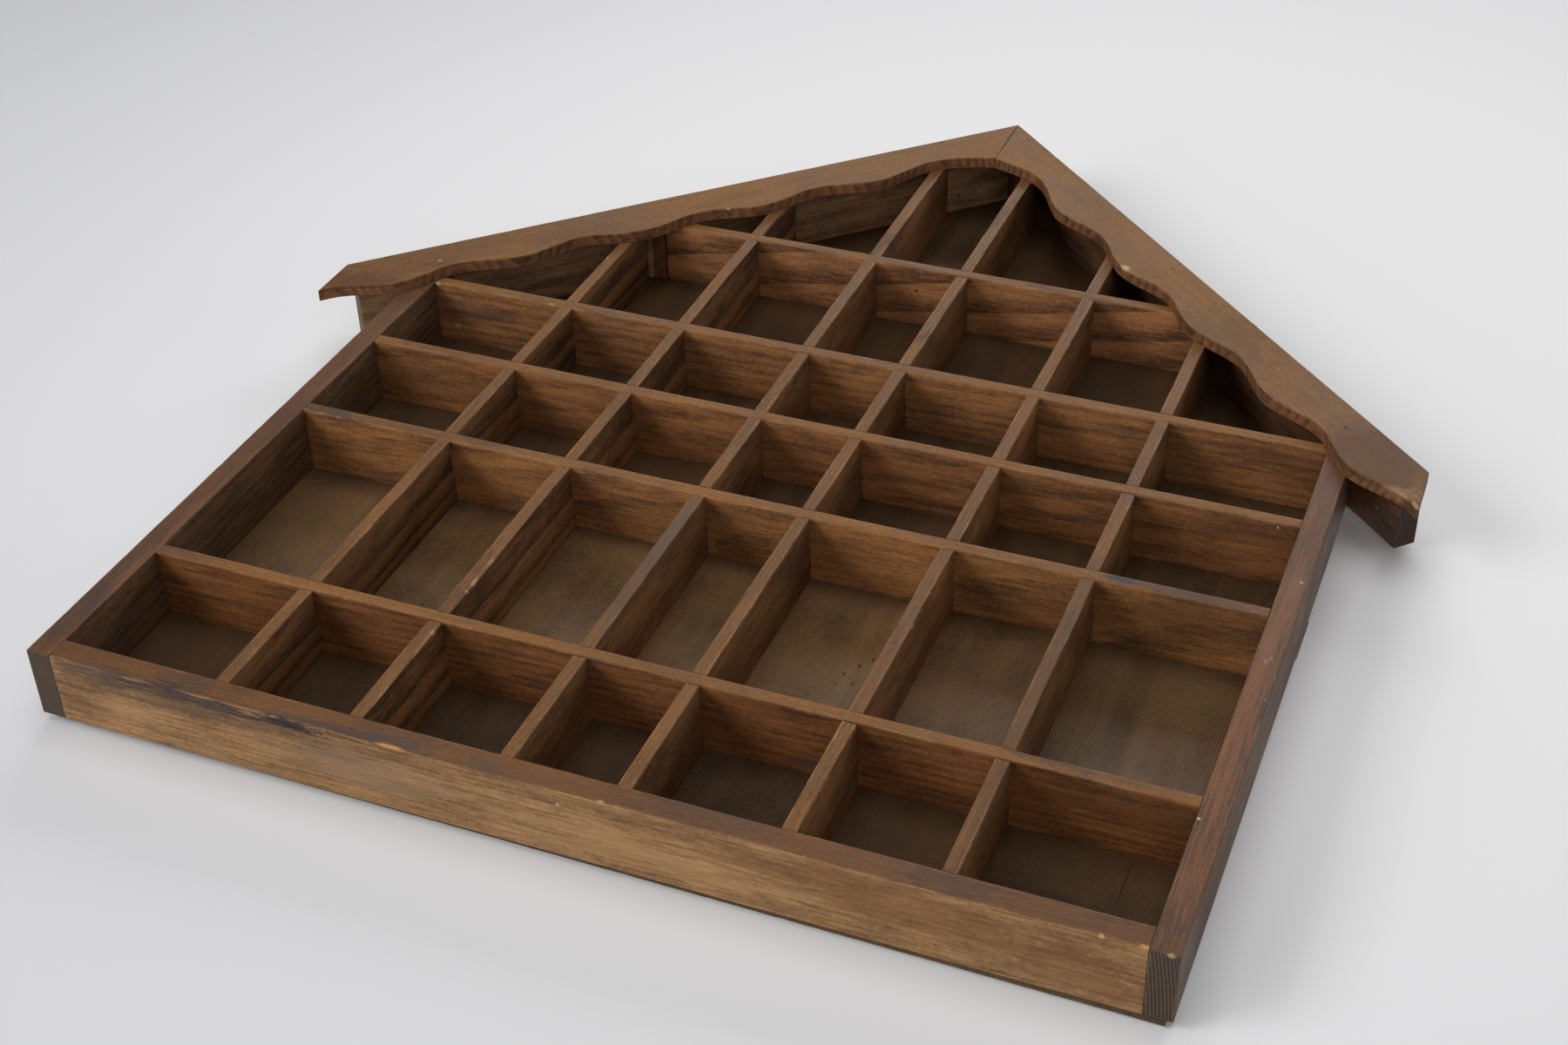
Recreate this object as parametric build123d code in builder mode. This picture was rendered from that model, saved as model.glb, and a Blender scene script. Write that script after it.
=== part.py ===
"""House-shaped curio shelf: a shallow gabled box of softwood boards, divided by five shelves and
six uprights that halve into each other, with scalloped bargeboards and a thin nailed-on back.

X runs across the front, Y from the front to the back, Z up. The origin is the middle of the
whole object's footprint, on the surface that it stands on.
"""

import os
from math import acos, atan2, cos, hypot, radians, sin, tan

from build123d import *

os.makedirs("parts", exist_ok=True)

# Overall sizes
width = 430.0  # across the outer faces of the two side rails
depth = 30.0  # of every rail, roof board, shelf and upright, front to back
right_pitch = radians(45.0)  # slope of the right roof board
ridge_shift = 4.0  # how far the ridge stands right of the middle
overhang = 31.0  # of each bargeboard past its side rail, level

# Stock thicknesses
rail = 10.0  # side rails and bottom rail
board = 10.0  # roof boards
divider = 5.5  # shelves and uprights
bargeboard = 5.5
panel = 3.0

# Clear heights of the rows, from the bottom rail up to the top shelf
row_heights = [57.5, 102.0, 53.5, 49.5, 80.5]
wall_shelves = 4  # the lowest shelves, which reach from side rail to side rail
rail_above_shelf = 12.6  # from the highest wall shelf up to the roof, at the rail's inner face

# Clear widths of the bays, from the middle one outwards; the outermost takes what is left
bay_widths = [39.0, 54.0, 50.0]

# Halving joints, cut from the back of the shelves and the front of the uprights
slot_side_gap = 0.1  # each side of the board that the slot takes
slot_slack = 0.8  # below the shelf, in the upright's slot

# Lower edge of the bargeboards
crest_width = 26.2  # board width where the edge bulges down
dip_width = 20.2  # board width in the hollows
first_dip_width = 18.8  # the hollow nearest the ridge
tail_width = 18.7  # at the plumb-cut end
mitre_height = 39.5  # of the vertical joint at the ridge
run_in = 43.0  # from the ridge to the middle of the run between the mitre and the first hollow
run_in_width = 21.2
first_dip = 59.0  # from the ridge to the first hollow, along the slope
last_crest = 16.5  # from the last bulge to the end of the upper edge
wave_pitch = 60.0  # from bulge to bulge, before it is evened out
tail_start = 5.5  # where the straight tail starts, past the end of the upper edge
tail_start_width = 19.3
board_end_gap = 1.0  # by which a roof board stops short of its bargeboard's end

# Packing piece between the top shelf's left end and the roof board
packing_top = 0.8  # its length along the top; the bottom is longer by the roof's slope
packing_gap = 0.9  # between it and the shelf

# Back panel, a little smaller than the frame and nailed on slightly askew
panel_inset = 1.5
panel_skew = -0.33  # degrees, seen from the front, turned clockwise

# Nails
nail_radius = 0.9
nail_length = 28.0
nail_pair = 9.0  # between the two nails of a joint, front to back
nail_set = 1.0  # how far each is punched below the surface
brad_radius = 0.6
brad_length = 12.0
ridge_brad = 36.0  # from the ridge to the first brad, along the slope
middle_brad = 176.0
pin_radius = 0.6
pin_length = 12.0
pin_head_radius = 1.5
pin_head = 0.5
pin_margin = 30.0  # from the corners of the frame to the nearest panel pins
bottom_pin_shares = (-1.0, -0.35, 0.35, 1.0)  # places along the bottom, of its end pins' reach

# Hanger plates, cranked so that their eyes stand off the back panel
hanger_width = 10.0
hanger_length = 40.0
hanger_sheet = 1.0
hanger_stand_off = 1.5  # between the panel and the eye
hanger_crank = 3.0  # height of the sloping part
hanger_eye_radius = 3.0
hanger_drop = 70.0  # from the top of the side rail's outer face to the eye
hanger_pin_spacing = 12.0

arris = 0.5  # rounding of the front edges

# Places worked out from the sizes
LEFT, RIGHT = -1, 1
SIDES = (LEFT, RIGHT)
front = (bargeboard - depth - panel - hanger_stand_off - hanger_sheet) / 2
back = front + depth
middle = front + depth / 2
panel_face = back + panel
outer_half = width / 2
inner_half = outer_half - rail
rail_line = outer_half - rail / 2
eave_half = outer_half + overhang


def shelf_heights():
    """Mid-thickness heights of the shelves, stacked on the rows below them."""
    heights = []
    top = rail
    for row in row_heights:
        heights.append(top + row + divider / 2)
        top = top + row + divider
    return heights


def upright_places():
    """Mid-thickness places of the uprights, from left to right."""
    half_places = []
    edge = bay_widths[0] / 2
    for bay in bay_widths[1:] + [0.0]:
        half_places.append(edge + divider / 2)
        edge = edge + divider + bay
    return [-x for x in reversed(half_places)] + half_places


shelf_z = shelf_heights()
upright_x = upright_places()
wall_top = shelf_z[wall_shelves - 1] + divider / 2 + rail_above_shelf
ridge_z = wall_top + board / cos(right_pitch) + (inner_half - ridge_shift) * tan(right_pitch)

# The left slope runs from the same ridge to the same height on the other rail, so it is flatter.
left_rise = ridge_z - wall_top
left_run = inner_half + ridge_shift
left_pitch = acos(board / hypot(left_rise, left_run)) - atan2(left_run, left_rise)
pitches = {LEFT: left_pitch, RIGHT: right_pitch}


def on_slope(side, along, across):
    """X and Z of the point that lies along the slope from the ridge, and across from its top."""
    pitch = pitches[side]
    x = ridge_shift + side * (along * cos(pitch) - across * sin(pitch))
    z = ridge_z - along * sin(pitch) - across * cos(pitch)
    return (x, z)


def roof_top(x):
    """Height of the roof boards' upper face at x."""
    side = LEFT if x < ridge_shift else RIGHT
    return ridge_z - abs(x - ridge_shift) * tan(pitches[side])


def roof_underside(x):
    """Height of the roof boards' lower face at x."""
    side = LEFT if x < ridge_shift else RIGHT
    return roof_top(x) - board / cos(pitches[side])


def roof_reach(side, z):
    """X at which the lower face of a roof board is at height z."""
    pitch = pitches[side]
    return ridge_shift + side * (ridge_z - board / cos(pitch) - z) / tan(pitch)


def facing_plane(y):
    """A plane parallel to the front, at depth y, from which extrusions come forwards."""
    return Plane.XZ.offset(-y)


def shelf_span(index):
    """Left and right ends of a shelf, cut square against the rails or the roof boards."""
    top = shelf_z[index] + divider / 2
    left = max(-inner_half, roof_reach(LEFT, top))
    right = min(inner_half, roof_reach(RIGHT, top))
    if index >= wall_shelves:
        left = roof_reach(LEFT, top) + packing_top + packing_gap
    return (left, right)


def upright_top(x):
    """Height of an upright's square-cut upper end, whose outer arris meets the roof."""
    return min(roof_underside(x - divider / 2), roof_underside(x + divider / 2))


def crosses(index, x):
    """Whether the shelf and the upright at x run into each other."""
    left, right = shelf_span(index)
    reaches = upright_top(x) > shelf_z[index] - divider / 2
    return reaches and left < x + divider / 2 and right > x - divider / 2


# Nails and pins: each is a point on the surface that it is driven into, and its direction
def bottom_joint_nails():
    """Two nails through each side rail into the end of the bottom rail."""
    nails = []
    for side in SIDES:
        for y in (middle - nail_pair / 2, middle + nail_pair / 2):
            nails.append(((side * outer_half, y, rail / 2), (-side, 0, 0)))
    return nails


def shelf_end_nails():
    """One nail through each side rail into each wall shelf."""
    nails = []
    for side in SIDES:
        for z in shelf_z[:wall_shelves]:
            nails.append(((side * outer_half, middle, z), (-side, 0, 0)))
    return nails


def eave_nails():
    """Two plumb nails through each roof board into the top of the side rail."""
    nails = []
    for side in SIDES:
        x = side * rail_line
        for y in (middle - nail_pair / 2, middle + nail_pair / 2):
            nails.append(((x, y, roof_top(x)), (0, 0, -1)))
    return nails


ridge_nail_drop = 8.0  # below the ridge
ridge_nail_bite = 4.0  # past the mitre, into the right board
ridge_nail_length = ridge_nail_drop / tan(left_pitch) + ridge_nail_bite


def ridge_nails():
    """Two level nails through the left roof board's mitre into the right one."""
    x = ridge_shift - ridge_nail_drop / tan(left_pitch)
    z = ridge_z - ridge_nail_drop
    return [((x, y, z), (1, 0, 0)) for y in (middle - nail_pair / 2, middle + nail_pair / 2)]


def bargeboard_brads():
    """Three brads in each bargeboard: two into the roof board, one into the side rail."""
    brads = []
    for side in SIDES:
        for along in (ridge_brad, middle_brad):
            x, z = on_slope(side, along, board / 2)
            brads.append(((x, front - bargeboard, z), (0, 1, 0)))
        x = side * rail_line
        z = roof_underside(x) - tail_width / 4
        brads.append(((x, front - bargeboard, z), (0, 1, 0)))
    return brads


def panel_pins():
    """Pins round the back panel, into the bottom rail, the side rails and the roof boards."""
    places = []
    bottom_end = inner_half - pin_margin
    for share in bottom_pin_shares:
        places.append((share * bottom_end, rail / 2))
    low = rail + pin_margin
    high = wall_top - pin_margin
    for side in SIDES:
        for z in (low, (low + high) / 2, high):
            places.append((side * rail_line, z))
        lowest = (rail_line - side * ridge_shift) / cos(pitches[side]) - pin_margin
        for along in (pin_margin, (pin_margin + lowest) / 2, lowest):
            places.append(on_slope(side, along, board / 2))
    return [((x, panel_face, z), (0, -1, 0)) for x, z in places]


def hanger_z():
    """Height of the hanger eyes."""
    return roof_underside(outer_half) - hanger_drop


def hanger_pins():
    """Two pins in the flat lower part of each hanger plate."""
    pins = []
    lowest = hanger_z() + hanger_width / 2 - hanger_length + hanger_width / 2
    for side in SIDES:
        for z in (lowest, lowest + hanger_pin_spacing):
            pins.append(((side * rail_line, panel_face + hanger_sheet, z), (0, -1, 0)))
    return pins


def driven_places(nails, start):
    """Planes along the nails, which begin the given distance below the surface."""
    places = []
    for point, direction in nails:
        origin = Vector(*point) + Vector(*direction) * start
        places.append(Plane(origin=origin, z_dir=direction))
    return places


def bore(nails, radius, length):
    """Cuts the holes of these nails from the piece being built, open at the surface."""
    with Locations(*driven_places(nails, -nail_set)):
        Cylinder(
            radius,
            length + nail_set,
            align=(Align.CENTER, Align.CENTER, Align.MIN),
            mode=Mode.SUBTRACT,
        )


def nail_shanks(nails, radius, length, start):
    """Adds the shanks of these nails, whose points are at the same depth as their holes."""
    with Locations(*driven_places(nails, start)):
        Cylinder(radius, length - start, align=(Align.CENTER, Align.CENTER, Align.MIN))


def pin_heads(pins):
    """Adds the flat round heads of these pins, standing on the surface."""
    with Locations(*driven_places(pins, 0)):
        Cylinder(pin_head_radius, pin_head, align=(Align.CENTER, Align.CENTER, Align.MAX))


def bore_rail_nails():
    """Cuts every hole that a nail or pin leaves in the rails, the roof boards or the shelves."""
    bore(bottom_joint_nails() + shelf_end_nails() + eave_nails(), nail_radius, nail_length)
    bore(bargeboard_brads(), brad_radius, brad_length)
    bore(panel_pins() + hanger_pins(), pin_radius, pin_length)


def round_front_edges(piece, axis):
    """Rounds the front edges that run along the axis."""
    front_edges = piece.edges().filter_by(axis).group_by(Axis.Y)[0]
    fillet(front_edges, radius=min(arris, divider / 3))


# Side rails: run to the floor, with their upper ends bevelled to the roof
def build_side_rail(side):
    with BuildPart() as side_rail:
        with BuildSketch(facing_plane(back)):
            with BuildLine():
                Polyline(
                    (side * inner_half, 0),
                    (side * outer_half, 0),
                    (side * outer_half, roof_underside(side * outer_half)),
                    (side * inner_half, roof_underside(side * inner_half)),
                    close=True,
                )
            make_face()
        extrude(amount=depth)
        round_front_edges(side_rail, Axis.Z)
        bore_rail_nails()
    return side_rail


side_rail_left = build_side_rail(LEFT)
side_rail_left.part.label = "side_rail_left"
export_step(side_rail_left.part, "parts/side_rail_left.step")

side_rail_right = build_side_rail(RIGHT)
side_rail_right.part.label = "side_rail_right"
export_step(side_rail_right.part, "parts/side_rail_right.step")

# Bottom rail: butted between the side rails
with BuildPart() as bottom_rail:
    with BuildSketch(Plane.XY):
        with Locations((0, middle)):
            Rectangle(2 * inner_half, depth)
    extrude(amount=rail)
    round_front_edges(bottom_rail, Axis.X)
    bore_rail_nails()
bottom_rail.part.label = "bottom_rail"
export_step(bottom_rail.part, "parts/bottom_rail.step")


# Roof boards: mitred at the ridge, cut square at the eaves
def build_roof_board(side):
    along = (eave_half - board_end_gap - side * ridge_shift) / cos(pitches[side])
    with BuildPart() as roof_board:
        with BuildSketch(facing_plane(back)):
            with BuildLine():
                Polyline(
                    (ridge_shift, ridge_z),
                    on_slope(side, along, 0),
                    on_slope(side, along, board),
                    (ridge_shift, ridge_z - board / cos(pitches[side])),
                    close=True,
                )
            make_face()
        extrude(amount=depth)
        bore_rail_nails()
        bore(ridge_nails(), nail_radius, ridge_nail_length)
    return roof_board


roof_board_left = build_roof_board(LEFT)
roof_board_left.part.label = "roof_board_left"
export_step(roof_board_left.part, "parts/roof_board_left.step")

roof_board_right = build_roof_board(RIGHT)
roof_board_right.part.label = "roof_board_right"
export_step(roof_board_right.part, "parts/roof_board_right.step")


# Bargeboards: thin fascias on the front of the roof boards, mitred at the ridge and cut plumb at
# the eaves, with a lower edge of even waves
def bargeboard_wave(side, upper_length):
    """Points of the lower edge, from the mitre to the plumb cut: hollows and bulges in turn."""
    wave_end = upper_length - last_crest
    half_waves = 2 * round((wave_end - first_dip) / wave_pitch - 0.5) + 1
    step = (wave_end - first_dip) / half_waves
    points = [(ridge_shift, ridge_z - mitre_height)]
    points.append(on_slope(side, run_in, run_in_width))
    points.append(on_slope(side, first_dip, first_dip_width))
    for count in range(1, half_waves + 1):
        across = crest_width if count % 2 else dip_width
        points.append(on_slope(side, first_dip + count * step, across))
    points.append(on_slope(side, upper_length + tail_start, tail_start_width))
    points.append(on_slope(side, upper_length + tail_width * tan(pitches[side]), tail_width))
    return points


def build_bargeboard(side):
    upper_length = (eave_half - side * ridge_shift) / cos(pitches[side])
    wave = bargeboard_wave(side, upper_length)
    with BuildPart() as fascia:
        with BuildSketch(facing_plane(front)):
            with BuildLine():
                Polyline(wave[0], (ridge_shift, ridge_z), on_slope(side, upper_length, 0), wave[-1])
                Spline(*wave)
            make_face()
        extrude(amount=bargeboard)
        bore(bargeboard_brads(), brad_radius, brad_length)
    return fascia


bargeboard_left = build_bargeboard(LEFT)
bargeboard_left.part.label = "bargeboard_left"
export_step(bargeboard_left.part, "parts/bargeboard_left.step")

bargeboard_right = build_bargeboard(RIGHT)
bargeboard_right.part.label = "bargeboard_right"
export_step(bargeboard_right.part, "parts/bargeboard_right.step")


# Shelves: whole along the front, slotted from the back for the uprights
def build_shelf(index):
    left, right = shelf_span(index)
    slots = [(x, middle + depth / 4) for x in upright_x if crosses(index, x)]
    with BuildPart() as shelf:
        with BuildSketch(Plane.XY.offset(shelf_z[index] - divider / 2)):
            with Locations(((left + right) / 2, middle)):
                Rectangle(right - left, depth)
            with Locations(*slots):
                Rectangle(divider + 2 * slot_side_gap, depth / 2, mode=Mode.SUBTRACT)
        extrude(amount=divider)
        round_front_edges(shelf, Axis.X)
        bore(shelf_end_nails(), nail_radius, nail_length)
    return shelf


for number in range(len(shelf_z)):
    shelf = build_shelf(number)
    shelf.part.label = f"shelf_{number + 1}"
    export_step(shelf.part, f"parts/shelf_{number + 1}.step")


# Uprights: stand on the bottom rail, slotted from the front for the shelves
def build_upright(x):
    top = upright_top(x)
    slot_height = divider + slot_slack + slot_side_gap
    slot_rise = (slot_side_gap - slot_slack) / 2
    slots = [
        (middle - depth / 4, shelf_z[index] + slot_rise)
        for index in range(len(shelf_z))
        if crosses(index, x)
    ]
    with BuildPart() as upright:
        with BuildSketch(Plane.YZ.offset(x - divider / 2)):
            with Locations((middle, (rail + top) / 2)):
                Rectangle(depth, top - rail)
            with Locations(*slots):
                Rectangle(depth / 2, slot_height, mode=Mode.SUBTRACT)
        extrude(amount=divider)
        round_front_edges(upright, Axis.Z)
    return upright


for number, place in enumerate(upright_x, start=1):
    upright = build_upright(place)
    upright.part.label = f"upright_{number}"
    export_step(upright.part, f"parts/upright_{number}.step")

# Packing piece: fills most of the corner between the top shelf's left end and the roof board
with BuildPart() as shelf_packing:
    underside = shelf_z[-1] - divider / 2
    upper = shelf_z[-1] + divider / 2
    inner_end = roof_reach(LEFT, upper) + packing_top
    with BuildSketch(facing_plane(back)):
        with BuildLine():
            Polyline(
                (roof_reach(LEFT, underside), underside),
                (inner_end, underside),
                (inner_end, upper),
                (roof_reach(LEFT, upper), upper),
                close=True,
            )
        make_face()
    extrude(amount=depth)
shelf_packing.part.label = "shelf_packing"
export_step(shelf_packing.part, "parts/shelf_packing.step")


# Back panel: a thin gabled sheet over the back of the whole frame
def panel_outline():
    """Corners of the panel, inset from the frame and turned a little about its middle."""
    half = outer_half - panel_inset
    corners = [(-half, panel_inset), (half, panel_inset)]
    for x in (half, ridge_shift, -half):
        side = LEFT if x < 0 else RIGHT
        corners.append((x, roof_top(x) - panel_inset / cos(pitches[side])))
    turn = radians(panel_skew)
    centre = wall_top / 2
    turned = []
    for x, z in corners:
        rise = z - centre
        turned.append((x * cos(turn) - rise * sin(turn), centre + x * sin(turn) + rise * cos(turn)))
    return turned


with BuildPart() as back_panel:
    with BuildSketch(facing_plane(panel_face)):
        with BuildLine():
            Polyline(*panel_outline(), close=True)
        make_face()
    extrude(amount=panel)
    bore(panel_pins() + hanger_pins(), pin_radius, pin_length)
back_panel.part.label = "back_panel"
export_step(back_panel.part, "parts/back_panel.step")


# Hanger plates: stamped strip, pinned through the panel into the side rails, with a cranked eye
def build_hanger(side):
    x = side * rail_line
    eye = hanger_z()
    top = eye + hanger_width / 2
    bottom = top - hanger_length
    bend = eye - hanger_width / 2 - hanger_crank
    stand = panel_face + hanger_stand_off
    with BuildPart() as hanger:
        with BuildSketch(Plane.YZ.offset(x - hanger_width / 2)):
            with BuildLine():
                Polyline(
                    (panel_face, bottom),
                    (panel_face, bend),
                    (stand, bend + hanger_crank),
                    (stand, top),
                    (stand + hanger_sheet, top),
                    (stand + hanger_sheet, bend + hanger_crank),
                    (panel_face + hanger_sheet, bend),
                    (panel_face + hanger_sheet, bottom),
                    close=True,
                )
            make_face()
        extrude(amount=hanger_width)
        with BuildSketch(facing_plane(stand + hanger_sheet)):
            with Locations((x, eye)):
                Circle(hanger_eye_radius)
        extrude(amount=hanger_sheet, mode=Mode.SUBTRACT)
        top_corners = hanger.edges().filter_by(Axis.Y).group_by(Axis.Z)[-1]
        fillet(top_corners, radius=hanger_width * 0.45)
        bottom_corners = hanger.edges().filter_by(Axis.Y).group_by(Axis.Z)[0]
        fillet(bottom_corners, radius=hanger_width * 0.45)
        bore(hanger_pins(), pin_radius, pin_length)
    return hanger


hanger_left = build_hanger(LEFT)
hanger_left.part.label = "hanger_left"
export_step(hanger_left.part, "parts/hanger_left.step")

hanger_right = build_hanger(RIGHT)
hanger_right.part.label = "hanger_right"
export_step(hanger_right.part, "parts/hanger_right.step")

# Frame nails: every nail of the rails and roof boards
with BuildPart() as frame_nails:
    nail_shanks(bottom_joint_nails() + eave_nails(), nail_radius, nail_length, nail_set)
    nail_shanks(ridge_nails(), nail_radius, ridge_nail_length, nail_set)
frame_nails.part.label = "frame_nails"
export_step(frame_nails.part, "parts/frame_nails.step")

# Shelf nails: through the side rails into the ends of the wall shelves
with BuildPart() as shelf_nails:
    nail_shanks(shelf_end_nails(), nail_radius, nail_length, nail_set)
shelf_nails.part.label = "shelf_nails"
export_step(shelf_nails.part, "parts/shelf_nails.step")

# Bargeboard brads: headless, punched just below the surface
with BuildPart() as brads:
    nail_shanks(bargeboard_brads(), brad_radius, brad_length, nail_set)
brads.part.label = "bargeboard_brads"
export_step(brads.part, "parts/bargeboard_brads.step")

# Panel pins: short flat-headed pins round the edge of the back panel
with BuildPart() as back_pins:
    nail_shanks(panel_pins(), pin_radius, pin_length, 0)
    pin_heads(panel_pins())
back_pins.part.label = "back_panel_pins"
export_step(back_pins.part, "parts/back_panel_pins.step")

# Hanger pins: the same pins, through the hanger plates
with BuildPart() as plate_pins:
    nail_shanks(hanger_pins(), pin_radius, pin_length, 0)
    pin_heads(hanger_pins())
plate_pins.part.label = "hanger_pins"
export_step(plate_pins.part, "parts/hanger_pins.step")
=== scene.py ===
"""Looks of the house-shaped curio shelf: walnut-stained softwood boards, their arrises worn, with a
thin ribbed sheet nailed on behind. It lies on its back on pale paper. Metres throughout."""

import random
from math import cos, exp, hypot, pi, radians, sin

import bpy
import bmesh
from mathutils import Matrix, Vector, noise


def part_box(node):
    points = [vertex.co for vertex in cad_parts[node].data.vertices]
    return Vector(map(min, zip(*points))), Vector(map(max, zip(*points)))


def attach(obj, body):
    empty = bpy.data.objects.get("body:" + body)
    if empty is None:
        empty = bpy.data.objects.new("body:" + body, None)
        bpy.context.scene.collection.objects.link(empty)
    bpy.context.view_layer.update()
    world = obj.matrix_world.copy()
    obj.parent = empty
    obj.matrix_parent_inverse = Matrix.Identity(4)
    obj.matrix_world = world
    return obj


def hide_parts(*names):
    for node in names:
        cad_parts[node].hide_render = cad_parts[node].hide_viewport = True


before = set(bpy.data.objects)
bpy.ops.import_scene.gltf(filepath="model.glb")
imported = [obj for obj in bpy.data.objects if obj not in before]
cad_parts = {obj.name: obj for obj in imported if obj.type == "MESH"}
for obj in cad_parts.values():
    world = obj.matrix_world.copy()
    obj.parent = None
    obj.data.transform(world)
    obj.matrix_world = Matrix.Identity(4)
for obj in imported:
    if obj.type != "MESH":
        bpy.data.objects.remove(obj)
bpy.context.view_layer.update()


# Bottom rail: a planed softwood batten between the side rails, stained walnut brown. Its front
# face is rubbed paler along the arrises, and its underside shows the widest stretch of grain.
arris_size = 0.0005  # radius of a fresh arris
wave_period = 0.314  # metres between the bands of a wave texture whose scale is 1


def new_material(name):
    """A material with an empty tree but for its shader and output."""
    made = bpy.data.materials.new(name)
    made.use_nodes = True
    made.node_tree.nodes.clear()
    shader = made.node_tree.nodes.new("ShaderNodeBsdfPrincipled")
    output = made.node_tree.nodes.new("ShaderNodeOutputMaterial")
    made.node_tree.links.new(shader.outputs["BSDF"], output.inputs["Surface"])
    return made, shader


def link(tree, source, target):
    """Joins an output to an input, or sets the input where the source is a plain value."""
    if isinstance(source, bpy.types.NodeSocket):
        tree.links.new(source, target)
    else:
        target.default_value = source


def add(tree, kind, settings=None, **inputs):
    """A node with its settings and inputs. An input's name has _ for its blanks."""
    node = tree.nodes.new("ShaderNode" + kind)
    for name, value in (settings or {}).items():
        setattr(node, name, value)
    for name, value in inputs.items():
        link(tree, value, node.inputs[name.replace("_", " ")])
    return node


def maths(tree, operation, *values, kind="Math", output="Value"):
    """The result of a Math node, or of a VectorMath one."""
    node = add(tree, kind, {"operation": operation})
    for socket, value in zip(node.inputs, values):
        link(tree, value, socket)
    return node.outputs[output]


def times(tree, first, second):
    """The product of two numbers."""
    return maths(tree, "MULTIPLY", first, second)


def vectors(tree, operation, first, second):
    """The vector that a VectorMath node makes of two."""
    return maths(tree, operation, first, second, kind="VectorMath", output="Vector")


def between(tree, value, low, high, out_low=0.0, out_high=1.0):
    """Value eased from out_low at low to out_high at high."""
    node = add(
        tree,
        "MapRange",
        {"interpolation_type": "SMOOTHSTEP"},
        Value=value,
        From_Min=low,
        From_Max=high,
        To_Min=out_low,
        To_Max=out_high,
    )
    return node.outputs["Result"]


def blend_of(tree, share, first, second, how="MIX"):
    """The colour that a share of the second makes of the first."""
    node = add(tree, "Mix", {"data_type": "RGBA", "blend_type": how, "clamp_result": True})
    link(tree, share, node.inputs["Factor"])
    link(tree, first, node.inputs[6])
    link(tree, second, node.inputs[7])
    return node.outputs[2]


def stretched(tree, vector, along, across):
    """Grain coordinates scaled along and across the board."""
    return vectors(tree, "MULTIPLY", vector, (along, across, across))


def cloud(tree, vector, scale, detail=3.0, rough=0.5, distortion=0.0):
    """Noise, from 0 to 1."""
    node = add(
        tree,
        "TexNoise",
        Vector=vector,
        Scale=scale,
        Detail=detail,
        Roughness=rough,
        Distortion=distortion,
    )
    return node.outputs["Fac"]


def new_group(name, inputs, outputs):
    """A shader node group with its sockets, named by kind, and its ends."""
    group = bpy.data.node_groups.new(name, "ShaderNodeTree")
    for side, kinds in (("INPUT", inputs), ("OUTPUT", outputs)):
        for kind, labels in kinds.items():
            for label in labels:
                group.interface.new_socket(label, in_out=side, socket_type="NodeSocket" + kind)
    start = group.nodes.new("NodeGroupInput")
    end = group.nodes.new("NodeGroupOutput")
    return group, start.outputs, end.inputs


def place_group(tree, group, **inputs):
    """The group as a node in a material's tree."""
    node = tree.nodes.new("ShaderNodeGroup")
    node.node_tree = group
    for name, value in inputs.items():
        link(tree, value, node.inputs[name.replace("_", " ")])
    return node.outputs


def colour(red, green, blue):
    """A colour with full alpha."""
    return (red, green, blue, 1.0)


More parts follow.
